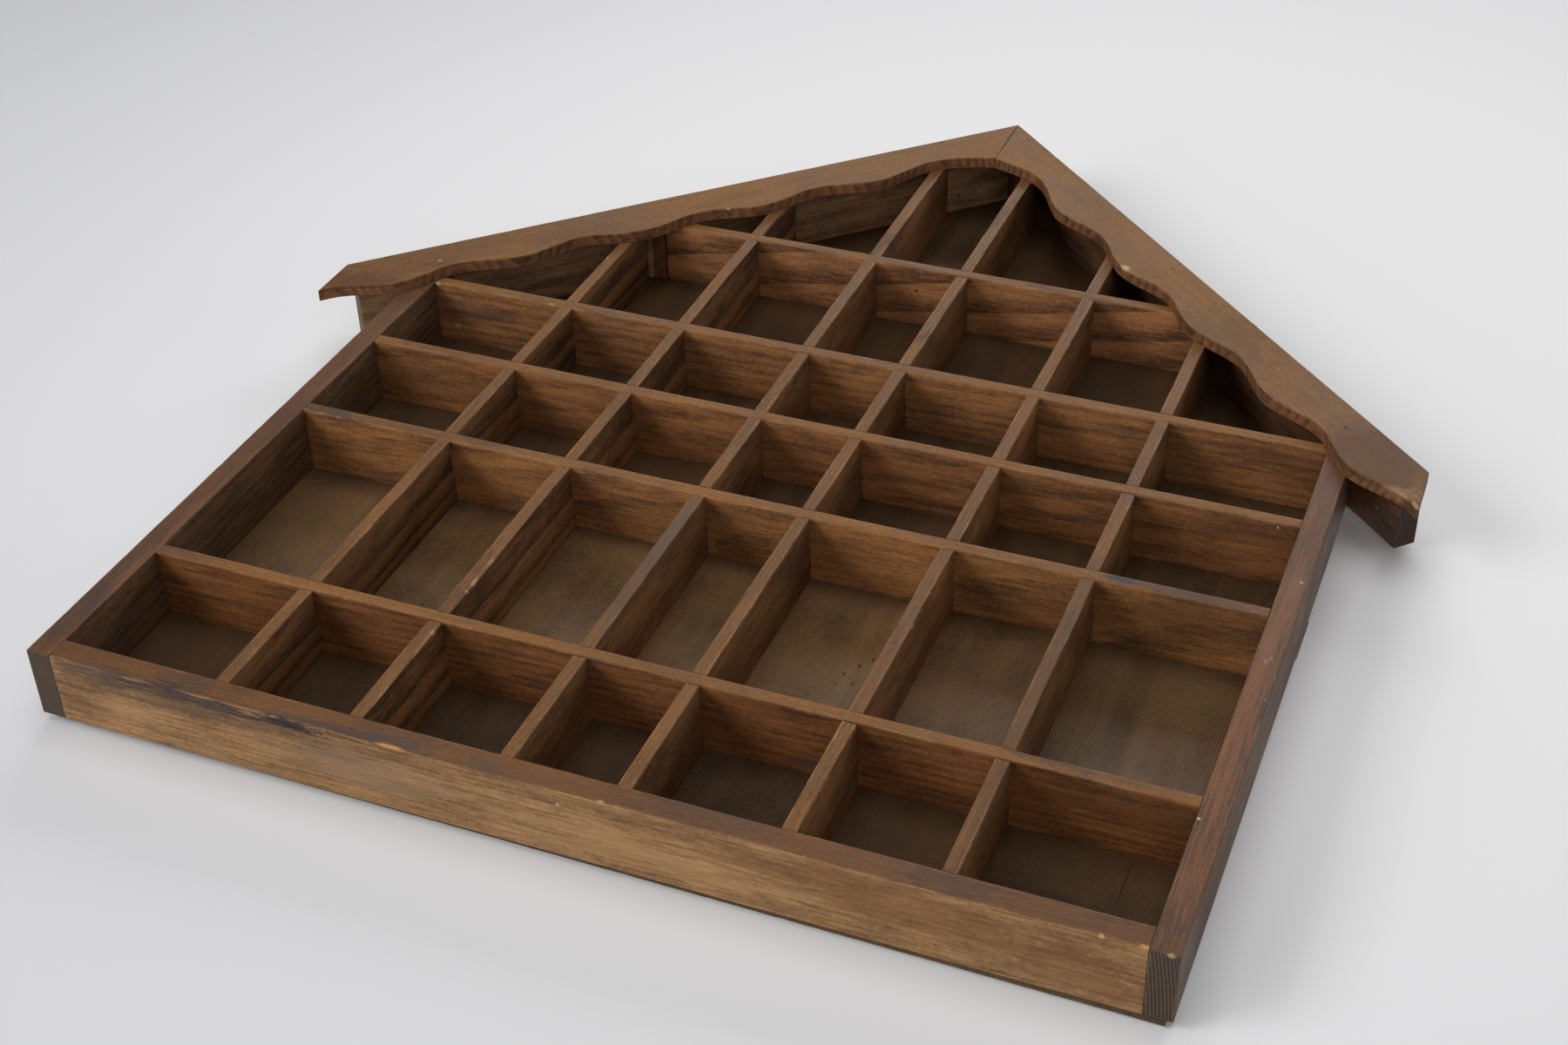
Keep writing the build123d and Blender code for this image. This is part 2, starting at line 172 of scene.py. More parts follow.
def make_stained_grain():
    """Softwood under walnut stain: growth rings, fibres, short pores and uneven uptake."""
    tree, given, out = new_group(
        "stained_grain",
        {
            "Vector": ["Grain"],
            "Color": ["Dark", "Light"],
            "Float": ["Ring Spacing", "Waviness", "Ring Strength", "Blotches", "End Grain"],
        },
        {"Color": ["Colour"], "Float": ["Height", "Tone"]},
    )
    grain = given["Grain"]
    ring_scale = maths(tree, "DIVIDE", wave_period, given["Ring Spacing"])
    wave = add(
        tree,
        "TexWave",
        {"wave_type": "RINGS", "rings_direction": "X", "wave_profile": "SAW"},
        Vector=stretched(tree, grain, 0.22, 1.0),
        Scale=ring_scale,
        Distortion=given["Waviness"],
        Detail=3.0,
        Detail_Scale=0.16,
        Detail_Roughness=0.6,
    )
    late = between(tree, wave.outputs["Fac"], 0.25, 0.95)
    fibres = cloud(tree, stretched(tree, grain, 60.0, 1100.0), 1.0, 4.0, 0.7)
    streaks = cloud(tree, stretched(tree, grain, 22.0, 420.0), 1.0, 3.0, 0.6)
    sawn = cloud(tree, stretched(tree, grain, 520.0, 700.0), 1.0, 3.0, 0.65)
    pores = cloud(tree, stretched(tree, grain, 240.0, 2600.0), 1.0, 1.0, 0.5)
    pits = between(tree, pores, 0.64, 0.74)
    uptake = cloud(tree, stretched(tree, grain, 26.0, 70.0), 1.0, 4.0, 0.6)
    patches = between(tree, uptake, 0.34, 0.68)

    fibre_share = between(tree, fibres, 0.36, 0.64)
    streak_share = between(tree, streaks, 0.28, 0.72)
    sawn_share = between(tree, sawn, 0.34, 0.66)
    tone = maths(tree, "MULTIPLY_ADD", fibre_share, 0.42, times(tree, streak_share, 0.34))
    tone = maths(tree, "MULTIPLY_ADD", sawn_share, 0.28, tone)
    ring_share = times(tree, maths(tree, "SUBTRACT", late, 0.45), given["Ring Strength"])
    tone = maths(tree, "SUBTRACT", tone, ring_share)
    blotch_share = times(tree, maths(tree, "SUBTRACT", patches, 0.5), given["Blotches"])
    tone = maths(tree, "ADD", tone, blotch_share)
    tone = maths(tree, "MAXIMUM", maths(tree, "MINIMUM", tone, 1.0), 0.0)
    shade = blend_of(tree, tone, given["Dark"], given["Light"])
    pitted = blend_of(tree, times(tree, pits, 0.45), shade, given["Dark"])
    late_share = between(tree, late, 0.2, 0.8)
    ring_dark = blend_of(tree, late_share, colour(0.1, 0.072, 0.05), colour(0.03, 0.022, 0.017))
    sooty = blend_of(tree, 0.8, pitted, ring_dark)
    ends = blend_of(tree, given["End Grain"], pitted, sooty)
    link(tree, ends, out["Colour"])
    relief = maths(tree, "MULTIPLY_ADD", late, 0.4, fibre_share)
    relief = maths(tree, "MULTIPLY_ADD", sawn_share, 0.5, relief)
    relief = maths(tree, "SUBTRACT", relief, times(tree, pits, 0.6))
    link(tree, relief, out["Height"])
    link(tree, tone, out["Tone"])
    return tree


def make_worn_finish():
    """What handling leaves on the stain: a rubbed front, pale arrises, bare chips, blue-grey grime."""
    tree, given, out = new_group(
        "worn_finish",
        {
            "Vector": ["Grain"],
            "Color": ["Colour", "Bare", "Front Dark", "Front Light"],
            "Float": ["Tone", "Arris", "Wear", "Front", "Grime"],
        },
        {"Color": ["Colour"], "Float": ["Roughness", "Height"]},
    )
    grain = given["Grain"]
    patchy = cloud(tree, stretched(tree, grain, 50.0, 160.0), 1.0, 4.0, 0.6)
    fine = cloud(tree, stretched(tree, grain, 420.0, 1500.0), 1.0, 3.0, 0.7)
    broad = cloud(tree, stretched(tree, grain, 17.0, 30.0), 1.0, 4.0, 0.62)
    dirt = cloud(tree, stretched(tree, grain, 24.0, 90.0), 1.0, 4.0, 0.65, 0.4)

    mottle = times(tree, between(tree, broad, 0.34, 0.66), 0.36)
    front_tone = maths(tree, "MULTIPLY_ADD", between(tree, fine, 0.38, 0.62), 0.34, mottle)
    front_tone = maths(tree, "MULTIPLY_ADD", given["Tone"], 0.4, front_tone)
    fronted = blend_of(tree, front_tone, given["Front Dark"], given["Front Light"])
    front_wear_and_painted_light = blend_of(tree, given["Front"], given["Colour"], fronted)
    dirt_share = times(tree, between(tree, dirt, 0.56, 0.7), given["Grime"])
    greyed = blend_of(tree, dirt_share, front_wear_and_painted_light, colour(0.055, 0.045, 0.042))
    edge = between(tree, given["Arris"], 0.3, 0.95)
    bare_share = times(tree, between(tree, patchy, 0.42, 0.72), given["Wear"])
    bare_share = times(tree, bare_share, edge)
    bare_share = times(tree, bare_share, between(tree, fine, 0.25, 0.6, 0.35, 1.0))
    bare_share = maths(tree, "MAXIMUM", bare_share, between(tree, given["Arris"], 1.3, 1.9))
    bared = blend_of(tree, bare_share, greyed, given["Bare"])
    link(tree, bared, out["Colour"])
    dull = between(tree, broad, 0.35, 0.7, 0.48, 0.64)
    dull = maths(tree, "MULTIPLY_ADD", bare_share, 0.2, dull)
    link(tree, dull, out["Roughness"])
    link(tree, fine, out["Height"])
    return tree


def make_local_mark():
    """A ragged spot round a point of the shelf, for stains, chips and nail marks."""
    tree, given, out = new_group(
        "local_mark",
        {"Vector": ["Spot", "Centre", "Reach"], "Float": ["Ragged"]},
        {"Float": ["Mask"]},
    )
    off = vectors(tree, "SUBTRACT", given["Spot"], given["Centre"])
    share = vectors(tree, "DIVIDE", off, given["Reach"])
    far = maths(tree, "LENGTH", share, kind="VectorMath")
    rough = cloud(tree, share, 2.6, 6.0, 0.72)
    swing = times(tree, maths(tree, "SUBTRACT", rough, 0.5), 3.2)
    swing = maths(tree, "MULTIPLY_ADD", swing, given["Ragged"], far)
    link(tree, between(tree, swing, 1.15, 0.45), out["Mask"])
    return tree


stained_grain = make_stained_grain()
worn_finish = make_worn_finish()
local_mark = make_local_mark()


def front_mask(tree):
    """How squarely the surface looks to the open front."""
    normal = add(tree, "TexCoord").outputs["Normal"]
    parts = add(tree, "SeparateXYZ", Vector=normal)
    return between(tree, times(tree, parts.outputs["Y"], -1.0), 0.5, 0.9)


def marked(tree, spot, toned, marks):
    """The colour under local marks: each one's centre and reach in mm, tint, share and raggedness."""
    for centre, reach, tint, share, ragged in marks:
        mask = place_group(
            tree,
            local_mark,
            Spot=spot,
            Centre=[v / 1000 for v in centre],
            Reach=[v / 1000 for v in reach],
            Ragged=ragged,
        )["Mask"]
        toned = blend_of(tree, times(tree, mask, share), toned, colour(*tint))
    return toned


def finish_shader(tree, shader, tone, roughness, height, bump, depth, specular=0.5):
    """Gives the shader its colour, roughness and relief."""
    relief = add(tree, "Bump", Strength=bump, Distance=depth, Height=height)
    link(tree, tone, shader.inputs["Base Color"])
    link(tree, roughness, shader.inputs["Roughness"])
    link(tree, relief.outputs["Normal"], shader.inputs["Normal"])
    shader.inputs["Specular IOR Level"].default_value = specular


def wood_material(name, dark, light, front_dark, front_light, bare, **more):
    """Stained and worn softwood. Its colours are linear red, green and blue; ring is in metres."""
    made, shader = new_material(name)
    tree = made.node_tree
    grain = add(tree, "Attribute", {"attribute_name": "grain"}).outputs["Vector"]
    arris = add(tree, "Attribute", {"attribute_name": "arris"}).outputs["Fac"]
    cut_end = add(tree, "Attribute", {"attribute_name": "cut_end"}).outputs["Fac"]
    # stain: a tint for each board; on the roof boards it is painted light and painted shade.
    stain = add(tree, "Attribute", {"attribute_name": "stain"}).outputs["Color"]
    wood = place_group(
        tree,
        stained_grain,
        Grain=grain,
        Dark=colour(*dark),
        Light=colour(*light),
        Ring_Spacing=more["ring"],
        Waviness=more.get("wave", 3.0),
        Ring_Strength=more["strength"],
        Blotches=more.get("blotches", 0.5),
        End_Grain=cut_end,
    )
    worn = place_group(
        tree,
        worn_finish,
        Colour=blend_of(tree, 1.0, wood["Colour"], stain, "MULTIPLY"),
        Tone=wood["Tone"],
        Grain=grain,
        Arris=arris,
        Wear=more["wear"],
        Bare=colour(*bare),
        Front=front_mask(tree),
        Front_Dark=colour(*front_dark),
        Front_Light=colour(*front_light),
        Grime=more.get("grime", 0.5),
    )
    height = maths(tree, "MULTIPLY_ADD", worn["Height"], 0.5, wood["Height"])
    spot = add(tree, "TexCoord").outputs["Object"]
    toned = marked(tree, spot, worn["Colour"], more["marks"])
    finish_shader(tree, shader, toned, worn["Roughness"], height, 0.4, 0.00012, 0.18)
    return made


corner_steps = 3  # faces round an arris
support = 0.0008  # from an arris to the next points on a face
shoulder = 0.0005  # from the side of a notch to the next section
notch_clear = 0.0006  # around a notch, where no other section goes
end_clear = 0.002  # from a board's end to the nearest section for a chip
chip_spacing = 0.045
chip_halves = (0.0006, 0.0026)
chip_depths = (0.00005, 0.00026)
full_chip = 0.0004  # depth from which a chip is bare wood
smallest_radius = 0.00012
smallest_arris = 0.00015
creased = radians(38)  # sharper edges stay sharp


def straight(start, end, inner):
    """Points along a face between two arrises: one near each arris, and some evenly between."""
    length = hypot(end[0] - start[0], end[1] - start[1])
    near = min(support / length, 0.3) if length > 0 else 0.3
    shares = [near + (1 - 2 * near) * count / (inner + 1) for count in range(inner + 2)]
    points = []
    for share in shares:
        across = start[0] + (end[0] - start[0]) * share
        depth = start[1] + (end[1] - start[1]) * share
        points.append((across, depth, 0.0))
    return points


def rounded(across, depth, radius, quarter):
    """Points round one arris. The quarter counts from the low back one."""
    points = []
    for count in range(corner_steps + 1):
        angle = (quarter + count / corner_steps) * pi / 2
        points.append((across + radius * cos(angle), depth + radius * sin(angle), 1.0))
    return points


def section(low, high, front, back, radii, inner_face, inner_side):
    """Points round a board's section, with 1 on the arrises and 0 on the faces."""
    low_front, high_front, high_back, low_back = radii
    corners = [
        rounded(low + low_front, front + low_front, low_front, 2),
        rounded(high - high_front, front + high_front, high_front, 3),
        rounded(high - high_back, back - high_back, high_back, 0),
        rounded(low + low_back, back - low_back, low_back, 1),
    ]
    counts = (inner_face, inner_side, inner_face, inner_side)
    ring = []
    for place, count in enumerate(counts):
        ring += corners[place]
        ring += straight(corners[place][-1], corners[(place + 1) % 4][0], count)
    return ring


def chips_of(draw, start, end):
    """Small breaks along an arris: place, half length and depth."""
    chips = []
    for _ in range(int((end - start) / chip_spacing)):
        chips.append((draw.uniform(start, end), draw.uniform(*chip_halves), draw.uniform(*chip_depths)))
    return chips


def arris_radius(chips, place, seed):
    """Radius of an arris at a place along the board, opened by wear and chips, and the chips' share."""
    broad = noise.noise(Vector((place * 70, seed, 0.0))) * 0.35
    fine = noise.noise(Vector((place * 300, seed, 5.0))) * 0.2
    chipped = sum(depth * exp(-(((place - middle) / half) ** 2)) for middle, half, depth in chips)
    radius = arris_size * (1.0 + (broad + fine)) + chipped
    return max(radius, smallest_arris), min(1.0, chipped / full_chip)


def places_along(start, end, pitch, eased, notches, chipped):
    """Where the sections go: place, inset and kind, with close pairs at the sides of each notch."""
    count = max(2, round((end - start - 2 * eased) / pitch))
    runs = [start + eased + (end - start - 2 * eased) * step / count for step in range(count + 1)]
    runs += chipped
    slight = eased * 0.3
    places = [(start, eased + support, "cap"), (start, eased, "end"), (start + slight, slight, "end")]
    places += [(end - slight, slight, "end"), (end, eased, "end"), (end, eased + support, "cap")]
    for along in runs:
        if all(not left - notch_clear < along < right + notch_clear for left, right in notches):
            places.append((along, 0.0, "run"))
    for left, right in notches:
        places += [(left - shoulder, 0.0, "run"), (left, 0.0, "edge"), (left + 1e-9, 0.0, "cut")]
        places += [(right - 1e-9, 0.0, "cut"), (right, 0.0, "edge"), (right + shoulder, 0.0, "run")]
    rank = {"cap": 0, "end": 1, "run": 2, "edge": 2, "cut": 2}
    half = (start + end) / 2
    return sorted(places, key=lambda p: (p[0], rank[p[2]] if p[0] < half else -rank[p[2]]))


def close_rings(mesh, rings):
    """Faces between neighbouring rings of vertices, and over both ends."""
    for first, second in zip(rings, rings[1:]):
        for i in range(len(first)):
            j = (i + 1) % len(first)
            mesh.faces.new((first[i], first[j], second[j], second[i]))
    mesh.faces.new(list(reversed(rings[0])))
    mesh.faces.new(rings[-1])


def new_object(name, data):
    """A mesh, lamp or camera as an object in the scene."""
    made = bpy.data.objects.new(name, data)
    bpy.context.scene.collection.objects.link(made)
    return made


def object_of(mesh, name):
    """The finished mesh as an object in the scene."""
    data = bpy.data.meshes.new(name)
    mesh.to_mesh(data)
    mesh.free()
    return new_object(name, data)


def worn_board(name, spans, place, grain, seed, **more):
    """A board as a run of rounded sections, with worn arrises, notches and eased ends.

    spans is its start, end, low, high, front and back. low and high are numbers, or functions of the
    place along the board. place turns (along, across, depth) into the row frame, and grain turns a
    point there into grain coordinates.
    """
    start, end, low, high, front, back = spans
    notches = more.get("notches", ())
    notch_side = more.get("notch_side", -1)
    slant = more.get("slant", (0.0, 0.0))
    inner_face = more.get("inner_face", 2)
    inner_side = more.get("inner_side", 7)
    eased = more.get("eased", 0.0004)
    scars = more.get("scars", ((), ()))
    low_at = low if callable(low) else lambda _: low
    high_at = high if callable(high) else lambda _: high
    draw = random.Random(seed)
    chips = [chips_of(draw, start, end) + list(scars[side]) for side in range(2)]
    middle = (front + back) / 2
    steps = (-0.9, -0.3, 0.3, 0.9)
    chipped = [chip + step * half for side in chips for chip, half, _ in side for step in steps]
    chipped = [along for along in chipped if start + end_clear < along < end - end_clear]
    stations = places_along(start, end, more.get("pitch", 0.002), eased, notches, chipped)

    mesh = bmesh.new()
    rings, arrises, ends = [], [], []
    for along, inset, kind in stations:
        share = (along - start) / (end - start)
        lean = slant[0] + (slant[1] - slant[0]) * share
        bottom, top = low_at(along) + inset, high_at(along) - inset
        low_radius, low_chip = arris_radius(chips[0], along, seed)
        high_radius, high_chip = arris_radius(chips[1], along, seed + 3.7)
        radii = (low_radius, high_radius, arris_size * 0.5, arris_size * 0.5)
        radii = [max(radius - inset * 0.5, smallest_radius) for radius in radii]
        ring = []
        outline = section(bottom, top, front + inset, back - inset, radii, inner_face, inner_side)
        for across, depth, arris in outline:
            chip = low_chip if across < (bottom + top) / 2 else high_chip
            worn = arris + chip * arris * (depth < middle)
            notched = (depth - middle) * notch_side > -0.0001
            if kind == "cut" and notched:
                depth = middle
            if kind == "edge" and notched:
                worn = max(worn, 1.0)
            point = place(along + lean * (across - low_at(along)), across, depth)
            ring.append(mesh.verts.new(point))
            arrises.append(0.0 if kind == "cap" else max(worn, 1.0 if kind == "end" else 0.0))
            ends.append(1.0 if kind in ("cap", "end") and inset > 0.0002 else 0.0)
        rings.append(ring)
    close_rings(mesh, rings)
    arris_layer = mesh.verts.layers.float.new("arris")
    end_layer = mesh.verts.layers.float.new("cut_end")
    grain_layer = mesh.verts.layers.float_vector.new("grain")
    stain_layer = mesh.verts.layers.float_vector.new("stain")
    mesh.verts.ensure_lookup_table()
    for vertex, arris, end_share in zip(mesh.verts, arrises, ends):
        vertex[arris_layer] = arris
        vertex[end_layer] = end_share
        vertex[grain_layer] = grain(vertex.co)
        vertex[stain_layer] = more.get("stain", (1.0, 1.0, 1.0))
    bmesh.ops.remove_doubles(mesh, verts=mesh.verts, dist=1e-6)
    bmesh.ops.dissolve_degenerate(mesh, edges=mesh.edges, dist=1e-7)
    bmesh.ops.recalc_face_normals(mesh, faces=mesh.faces)
    for face in mesh.faces:
        face.smooth = True
    for edge in mesh.edges:
        edge.smooth = len(edge.link_faces) == 2 and edge.calc_face_angle(0.0) < creased
    return object_of(mesh, name)


def grain_frame(along, heart, shift, lean=(0.0, 0.0)):
    """Grain coordinates: along the board, then across it from the heart of the tree.

    lean tilts the heart away from the board, which draws the rings out into long arches.
    """
    along = Vector(along).normalized()
    depth = Vector((0.0, 1.0, 0.0))
    across = along.cross(depth)

    def grain(point):
        run = point.dot(along) + shift
        side = point.dot(across) + heart[0] + lean[0] * run
        return (run, side, point.dot(depth) + heart[1] + lean[1] * run)

    return grain


def finish_piece(piece, node, material):
    """Puts the piece in its node's place, with its finish."""
    piece.data.materials.append(material)
    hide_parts(node)
    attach(piece, "root")


def level(along, across, depth):
    """Places a board that lies level."""
    return (along, depth, across)


def upright(along, across, depth):
    """Places a board that stands upright."""
    return (across, depth, along)


def boxed_board(node, place, grain, seed, **more):
    """A worn board that fills its node's box, lying level or standing upright."""
    low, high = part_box(node)
    spans = (low.x, high.x, low.z, high.z) if place is level else (low.z, high.z, low.x, high.x)
    return worn_board(node + "_board", spans + (low.y, high.y), place, grain, seed, **more)


bottom_rail_wood = wood_material(
    "bottom_rail_wood",
    dark=(0.15, 0.077, 0.033),
    light=(0.44, 0.24, 0.103),
    front_dark=(0.07, 0.035, 0.018),
    front_light=(0.185, 0.08, 0.027),
    bare=(0.4, 0.22, 0.1),
    ring=0.0023,
    wave=11.0,
    strength=0.2,
    blotches=0.45,
    wear=0.4,
    marks=[
        ((-145, -12.2, 0), (48, 3, 3), (0.03, 0.026, 0.029), 0.9, 2),
        ((-150, -8, 0), (50, 5, 3), (0.1, 0.06, 0.035), 0.6, 1.6),
        ((30, 3, 0), (70, 8, 3), (0.5, 0.29, 0.13), 0.45, 1.5),
        ((120, -4, 0), (80, 9, 3), (0.2, 0.085, 0.03), 0.55, 1.6),
        ((185, 4, 0), (26, 12, 3), (0.16, 0.07, 0.03), 0.5, 1.2),
        ((-103, -12.6, 0), (14, 2.6, 3), (0.028, 0.024, 0.027), 0.9, 1.5),
        ((-186, -11.5, 0), (22, 5, 3), (0.07, 0.05, 0.042), 0.6, 1.4),
        ((-84, -15, 1.5), (30, 2, 3), (0.05, 0.042, 0.04), 0.6, 1.4),
        ((-62, -15, 3.5), (16, 2, 3.5), (0.06, 0.05, 0.05), 0.55, 1.3),
        ((-28, -15, 3), (9, 2, 3.5), (0.07, 0.055, 0.05), 0.5, 1.3),
        ((140, -15, 5), (22, 2, 5), (0.06, 0.042, 0.036), 0.6, 1.4),
        ((-62.5, -14.6, 0), (7, 0.9, 1), (0.55, 0.24, 0.085), 0.9, 0.5),
        ((-75, 0, 0), (36, 9, 3), (0.27, 0.18, 0.11), 0.55, 1.2),
        ((1.6, -8.7, 0), (0.9, 0.8, 0.8), (0.5, 0.35, 0.2), 0.9, 0.4),
        ((204.4, -14.8, 0), (1.8, 1.2, 1.2), (0.55, 0.25, 0.09), 0.95, 0.4),
        ((189.9, -14.6, 0), (1.3, 0.8, 0.8), (0.5, 0.3, 0.15), 0.9, 0.4),
    ],
)
bottom_rail = boxed_board(
    "bottom_rail",
    level,
    grain_frame((1, 0, 0), (0.012, 0.06), 0.3, (0.004, 0.008)),
    seed=1,
    inner_face=3,
    inner_side=10,
    scars=(
        (
            (-0.0625, 0.005, 0.0004),
            (0.018, 0.0012, 0.0004),
            (0.0235, 0.0008, 0.0003),
            (0.1899, 0.001, 0.0004),
            (0.2035, 0.0015, 0.0006),
        ),
        (),
    ),
)
finish_piece(bottom_rail, "bottom_rail", bottom_rail_wood)


# Side rails: the same batten, standing outside the bottom rail and running down past its ends,
# so that their end grain shows at the bottom. Their tops are bevelled to lie under the roof.
side_rail_wood = wood_material(
    "side_rail_wood",
    dark=(0.05, 0.027, 0.016),
    light=(0.15, 0.08, 0.042),
    front_dark=(0.06, 0.03, 0.018),
    front_light=(0.195, 0.086, 0.038),
    bare=(0.3, 0.18, 0.1),
    ring=0.0012,
    wave=2.5,
    strength=0.3,
    wear=0.35,
    marks=[
        ((209.6, -15, 149.1), (0.9, 1, 1.8), (0.34, 0.28, 0.22), 0.7, 1.2),
        ((211, -15, 151.5), (0.6, 1, 1.2), (0.34, 0.28, 0.22), 0.6, 1.2),
        ((213.9, -15, 128.4), (0.5, 1, 1.2), (0.34, 0.28, 0.22), 0.6, 1),
        ((211, -15, 100), (5, 2, 45), (0.04, 0.03, 0.027), 0.5, 1.7),
        ((208, -15, 30), (5, 2, 40), (0.05, 0.033, 0.026), 0.42, 1.8),
        ((210, -15, 215), (5, 2, 50), (0.07, 0.052, 0.042), 0.4, 1.8),
        ((209, -15, 130), (4, 2, 110), (0.24, 0.1, 0.045), 0.5, 1.6),
        ((-211, -15, 40), (4, 2, 60), (0.05, 0.036, 0.03), 0.5, 1.8),
        ((-210.5, -15, 180), (5, 2, 120), (0.06, 0.034, 0.022), 0.36, 1.4),
        ((212.3, -15, 199.5), (0.7, 1, 0.9), (0.4, 0.33, 0.26), 0.8, 0.6),
        ((205.9, -15, 61.8), (0.7, 0.9, 0.8), (0.5, 0.42, 0.33), 0.9, 0.4),
        ((212.1, -14.3, 0), (1.6, 1, 1.2), (0.45, 0.33, 0.2), 0.8, 0.5),
    ],
)


same_place = 1e-5  # points of the CAD that are less apart count as one


def side_rail(node, seed, heart):
    """A side rail, whose bevelled top rises toward the middle of the shelf."""
    low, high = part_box(node)
    outer = max(abs(low.x), abs(high.x))
    tops = [v.co.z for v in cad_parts[node].data.vertices if abs(abs(v.co.x) - outer) < same_place]
    fall = (high.z - max(tops)) / (high.x - low.x)
    left = low.x < 0
    top_at_low = max(tops) if left else high.z
    slope = fall if left else -fall
    made = worn_board(
        node + "_board",
        (low.z, top_at_low, low.x, high.x, low.y, high.y),
        upright,
        grain_frame((0, 0, 1), heart, seed * 0.41, (0.01, 0.01)),
        seed=seed,
        slant=(0.0, slope),
        inner_face=3,
        inner_side=10,
    )
    finish_piece(made, node, side_rail_wood)


side_rail("side_rail_left", 2, (0.01, 0.05))
side_rail("side_rail_right", 3, (-0.05, -0.04))


# Shelves: thin strips across the whole width, whole along the front and notched from the back
# over the uprights. Their undersides show orange-brown streaks; the front edges are paler.
shelf_names = ["shelf_%d" % number for number in range(1, 6)]
upright_names = ["upright_%d" % number for number in range(1, 7)]
joint_play = 0.0001
shelf_marks_and_shade = [
    ((-192, -15, 178), (16, 2, 5), (0.05, 0.04, 0.045), 0.7, 1.3),
    ((-120, -15, 180), (15, 2, 3), (0.06, 0.045, 0.045), 0.55, 1.4),
    ((149, -15, 178.5), (8, 2, 2.6), (0.035, 0.04, 0.06), 0.85, 1),
    ((178, -15, 178), (30, 2, 4), (0.08, 0.046, 0.036), 0.7, 1.4),
    ((150, -15, 72.5), (17, 2, 2.5), (0.07, 0.042, 0.032), 0.7, 1.2),
    ((-196, -15, 72), (12, 2, 3), (0.07, 0.055, 0.045), 0.55, 1.3),
    ((196.6, -12.8, 234), (0.4, 0.5, 0.5), (0.75, 0.7, 0.62), 1, 0.2),
    ((0.2, -3.1, 375), (0.7, 0.9, 0.6), (0.004, 0.003, 0.003), 1, 0.2),
    ((-195.1, 6.5, 289), (2.2, 0.8, 0.6), (0.5, 0.38, 0.24), 0.8, 0.8),
    ((-203.1, -14.3, 289), (1.6, 1, 1), (0.5, 0.38, 0.24), 0.8, 0.8),
    # Painted shade: a broad darkening over the shelves in the rightmost column of bays.
    ((186, -6, 150), (44, 10, 260), (0.05, 0.024, 0.012), 0.45, 0.6),
]
shelf_look = {
    "front_dark": (0.1, 0.046, 0.017),
    "bare": (0.36, 0.2, 0.09),
    "wave": 4.0,
    "wear": 0.45,
    "marks": shelf_marks_and_shade,
}
shelf_wood = wood_material(
    "shelf_wood",
    dark=(0.064, 0.031, 0.014),
    light=(0.225, 0.103, 0.036),
    front_light=(0.26, 0.114, 0.032),
    ring=0.0016,
    strength=0.26,
    blotches=0.4,
    **shelf_look,
)
top_shelf_wood = wood_material(
    "top_shelf_wood",
    dark=(0.075, 0.034, 0.014),
    light=(0.3, 0.138, 0.05),
    front_light=(0.24, 0.108, 0.032),
    ring=0.005,
    strength=0.6,
    blotches=0.3,
    **shelf_look,
)
shelf_hearts = [(0.02, 0.045), (0.05, -0.03), (0.03, 0.04), (-0.04, 0.05), (0.004, 0.02)]
shelf_leans = [(0.02, 0.0), (-0.02, 0.02), (0.02, 0.0), (0.0, 0.02), (0.05, 0.05)]
shelf_stains = [
    (1.16, 0.99, 0.93),
    (1.7, 1.62, 1.55),
    (1.5, 1.37, 1.36),
    (1.66, 1.58, 1.6),
    (1.28, 1.22, 1.32),
]


def crossing(shelf, post):
    """Whether a shelf and an upright run into each other."""
    shelf_low, shelf_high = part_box(shelf)
    post_low, post_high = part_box(post)
    level_meet = shelf_low.x < post_high.x and shelf_high.x > post_low.x
    return level_meet and post_high.z > shelf_low.z


for number, node in enumerate(shelf_names):
    cuts = []
    for post in upright_names:
        if crossing(node, post):
            post_low, post_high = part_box(post)
            cuts.append((post_low.x - joint_play, post_high.x + joint_play))
    made = boxed_board(
        node,
        level,
        grain_frame((1, 0, 0), shelf_hearts[number], 0.7 * number, shelf_leans[number]),
        seed=10 + number,
        notches=cuts,
        notch_side=1,
        stain=shelf_stains[number],
    )
    finish_piece(made, node, top_shelf_wood if node == "shelf_5" else shelf_wood)


# Uprights: strips like the shelves, standing on the bottom rail and notched from the front, where
# a little slack below each shelf shows as a dark slit. Their broad faces have dark, coarse grain.
slack = 0.0008
upright_wood = wood_material(
    "upright_wood",
    dark=(0.055, 0.027, 0.013),
    light=(0.25, 0.115, 0.045),
    front_dark=(0.085, 0.04, 0.017),
    front_light=(0.215, 0.098, 0.034),
    bare=(0.4, 0.24, 0.12),
    ring=0.0013,
    wave=3.0,
    strength=0.6,
    wear=0.55,
    grime=0.6,
    marks=[
        ((-22.2, -15, 150), (4, 2, 26), (0.1, 0.076, 0.06), 0.6, 1.6),
        ((-22.2, -15, 108), (5, 2, 42), (0.08, 0.056, 0.042), 0.4, 1.2),
        ((137.2, -15, 88), (5, 2, 90), (0.055, 0.034, 0.024), 0.38, 1.2),
        ((-24.2, -15, 127.4), (0.5, 0.8, 0.5), (0.004, 0.004, 0.004), 1, 0.3),
        ((84.4, -13.9, 126.3), (0.5, 0.5, 2.2), (0.6, 0.5, 0.38), 0.9, 0.4),
    ],
)
upright_hearts = [(0.045, 0.02), (0.03, 0.008), (0.006, 0.02), (0.05, 0.03), (0.04, -0.03), (0.03, 0.05)]
upright_leans = [(0.0, 0.01), (0.0, 0.0), (0.03, 0.06), (0.01, 0.02), (0.02, 0.0), (0.0, 0.01)]
upright_stains = [0.82, 1.12, 1.15, 0.97, 1.27, 1.05]
